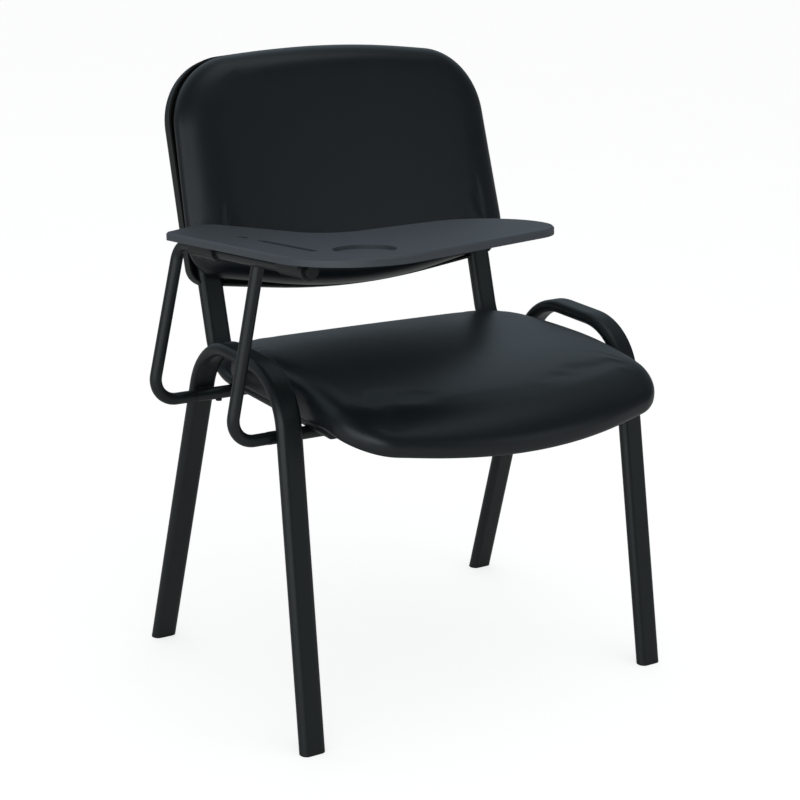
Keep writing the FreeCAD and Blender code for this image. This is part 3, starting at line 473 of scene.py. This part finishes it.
# Back cushion. Like the seat, foam under leatherette on a board, with a wide roll at both sides
# and a slight barrel curve across, bolted in front of the two uprights.
lean = math.radians(19.8)
back_place = Matrix((
    (1, 0, 0, mid_x),
    (0, math.sin(lean), -math.cos(lean), mid_y + 0.1764),
    (0, math.cos(lean), math.sin(lean), 0.495),
    (0, 0, 0, 1)))
back_half, back_top_half = 0.2488, 0.2386
low_rise, top_fall, board_front = 0.044, 0.022, 0.0206
low_peak = -0.0255 - low_rise / 4
top_peak = 0.2955 + top_fall / 4
back_wide, back_tall = 100, 72
back_loop, back_out = rounded_loop(
    [(0, low_peak), (back_half, low_peak + low_rise), (back_top_half, top_peak - top_fall),
     (0, top_peak), (-back_top_half, top_peak - top_fall), (-back_half, low_peak + low_rise)],
    [0.5 * back_half ** 2 / low_rise, 0.044, 0.095, 0.5 * back_top_half ** 2 / top_fall, 0.095, 0.044],
    [1, 2, 4, 5], [back_tall, back_wide, back_tall, back_wide])
back_loop, back_out = np.roll(back_loop, back_wide, axis=0), np.roll(back_out, back_wide, axis=0)


def back_crown(x):
    """Distance of the cushion's front from the uprights' plane: a barrel of large radius."""
    return 0.0505 - x ** 2 / 6.4


to_side = back_out[:, 0] ** 2
to_top = np.clip(back_out[:, 1], 0, 1) ** 2
to_low = np.clip(-back_out[:, 1], 0, 1) ** 2
back_roll = (0.046 * to_side + 0.030 * to_top + 0.025 * to_low)[:, None]
back_waist, back_hem = 0.0175, 0.0104
back_rows = []
for angle in np.radians(np.linspace(82, 0, 14)):
    inset = back_roll * (1 - math.cos(angle))
    flat = back_loop - inset * back_out
    rise = back_waist + (back_crown(flat[:, 0]) - back_waist) * math.sin(angle)
    back_rows.append(ring(back_loop, back_out, inset, rise))
for angle in np.radians(np.linspace(15, 90, 6)):
    inset = 0.006 * (1 - math.cos(angle))
    depth = back_waist - (back_waist - back_hem) * math.sin(angle)
    back_rows.append(ring(back_loop, back_out, inset, np.full(len(back_loop), depth)))
back_rows.append(ring(back_loop, back_out, lap, np.full(len(back_loop), back_hem)))
back_rows.append(ring(back_loop, back_out, lap, np.full(len(back_loop), board_front)))
inner = fill_loop(back_loop - back_roll * back_out, back_wide, back_tall)
back_top = np.dstack([inner, back_crown(inner[..., 0])])
inner = fill_loop(back_loop - under_inset * back_out, back_wide, back_tall)
back_under = np.dstack([inner, np.full(inner.shape[:2], board_front)])
back_cushion, loop_size = pad_object("back_cushion", back_top, np.array(back_rows), back_under)
back_cushion.data.transform(back_place)
free = back_top.shape[0] * back_top.shape[1] + 16 * loop_size
inflate(back_cushion, np.arange(len(back_cushion.data.vertices)) >= free, 0.0011)
upholster(back_cushion, 0.9, "back_cover", "back_foam")

# Writing tablet. One moulding in slate-grey plastic with a fine leather-like grain on its upper
# side, clipped to the rod so that it can be turned up.
slate_plastic, place = new_finish("slate_plastic")
hide = place.node("ShaderNodeTexVoronoi", {"feature": "DISTANCE_TO_EDGE"}, {
    "Vector": place, "Scale": 950.0}, "Distance").between(0.0, 0.3)
speck = place.noise(2400.0, 3.0, 0.6)
rubbed = place.noise(22.0, 4.0, 0.6)
shade(slate_plastic, place,
      Base_Color=(hide * 0.5 + rubbed * 0.5).mix((0.040, 0.047, 0.057, 1), (0.058, 0.067, 0.080, 1)),
      Roughness=0.40 + rubbed * 0.12 + speck * 0.06,
      Normal=(hide + speck * 0.4).bump(0.00008, 0.3))
dress(slate_plastic, "tablet_top")

# Floor and light of the studio: a pale floor that keeps the chair's shadow, a white background
# that is bright behind the chair and dim in front of it, and four soft boxes.


def light_rays(value):
    """1 for rays from the camera or through something clear, and 1 for mirrored rays."""
    kinds = value.node("ShaderNodeLightPath").socket.node.outputs
    names = ("Is Camera Ray", "Is Transmission Ray", "Is Glossy Ray")
    straight, clear, mirror = (Value(value.tree, kinds[name]) for name in names)
    return straight.math("MAXIMUM", straight, clear), mirror


paper, place = new_finish("paper")
tone = place.noise(3.0, 2.0)
plain, glossy_ray = light_rays(place)
rays = plain + glossy_ray * 0.1
sheet = place.node("ShaderNodeBsdfPrincipled", None, {
    "Base Color": tone.mix((0.40, 0.40, 0.40, 1), (0.42, 0.42, 0.42, 1)), "Roughness": 0.9})
glow = place.node("ShaderNodeEmission", None, {"Color": (1, 1, 1, 1), "Strength": 0.72})
both = place.node("ShaderNodeAddShader", None, {0: sheet, 1: glow})
seen = place.node("ShaderNodeMixShader", None, {0: rays, 1: sheet, 2: both})
place.node("ShaderNodeOutputMaterial", None, {"Surface": seen})
spot = np.array([(-1, -1, 0), (1, -1, 0), (1, 1, 0), (-1, 1, 0)]) * 30.0
floor_mesh = bpy.data.meshes.new("floor")
floor_mesh.from_pydata(spot.tolist(), [], [(0, 1, 2, 3)])
floor_mesh.materials.append(paper)
floor = bpy.data.objects.new("floor", floor_mesh)
bpy.context.scene.collection.objects.link(floor)

world = bpy.data.worlds.new("studio")
bpy.context.scene.world = world
world.use_nodes = True
world.node_tree.nodes.clear()
start = Value(world.node_tree)
toward = start.node("ShaderNodeTexCoord", out="Generated")
deep = start.node("ShaderNodeSeparateXYZ", None, {"Vector": toward}, "Y")
high = Value(world.node_tree, deep.socket.node.outputs["Z"])
plain, glossy_ray = light_rays(start)
mirrored = 0.08 + 0.38 * deep.between(-0.1, 0.9) * (0.2 + 0.8 * high.between(0.0, 0.34))
level = plain + (1 - plain) * (glossy_ray * mirrored + (1 - glossy_ray) * 0.62)
tint = (glossy_ray * (1 - plain)).mix((1, 1, 1, 1), (0.80, 0.97, 1.10, 1))
sky = start.node("ShaderNodeBackground", None, {"Color": tint, "Strength": level})
start.node("ShaderNodeOutputWorld", None, {"Surface": sky})


def soft_box(name, place, aim, size, power):
    """A rectangular lamp at a place, turned to the aim."""
    lamp = bpy.data.lights.new(name, "AREA")
    lamp.shape = "RECTANGLE"
    lamp.size, lamp.size_y = size
    lamp.energy = power
    lamp.color = (0.88, 0.98, 1.0)
    box = bpy.data.objects.new(name, lamp)
    box.location = place
    box.rotation_euler = (Vector(aim) - Vector(place)).to_track_quat("-Z", "Y").to_euler()
    bpy.context.scene.collection.objects.link(box)


soft_box("left_box", (-2.7, -0.7, 0.8), (0, 0, 0.55), (2.2, 1.6), 14)
soft_box("front_box", (-2.0, -2.5, 1.15), (0, 0, 0.5), (1.9, 1.5), 18)
soft_box("right_box", (1.9, -2.6, 1.2), (0, 0, 0.6), (1.6, 1.6), 4.5)
soft_box("over_box", (0.4, -0.4, 3.0), (0, 0, 0.4), (2.2, 2.2), 10)

# The camera stands at the sitter's right front, a little above the chair, as the photograph's.
turn, rise, tip = math.radians(-34.92), math.radians(17.48), 0.04978
focal_pixels, picture_pixels = 1945.1, 800
back_axis = Vector((math.sin(turn) * math.cos(rise), -math.cos(turn) * math.cos(rise), math.sin(rise)))
right = Vector((math.cos(turn), math.sin(turn), 0))
up = back_axis.cross(right)
right_axis = right * math.cos(tip) + up * math.sin(tip)
up_axis = up * math.cos(tip) - right * math.sin(tip)
eye = bpy.data.cameras.new("eye")
eye.sensor_width = 36.0
eye.lens = focal_pixels / picture_pixels * eye.sensor_width
camera = bpy.data.objects.new("camera", eye)
stand = Matrix((right_axis, up_axis, back_axis)).transposed().to_4x4()
stand.translation = (-1.4046 + mid_x, -1.9707 + mid_y, 1.1149)
camera.matrix_world = stand
bpy.context.scene.collection.objects.link(camera)
bpy.context.scene.camera = camera
bpy.context.scene.view_settings.view_transform = "Standard"
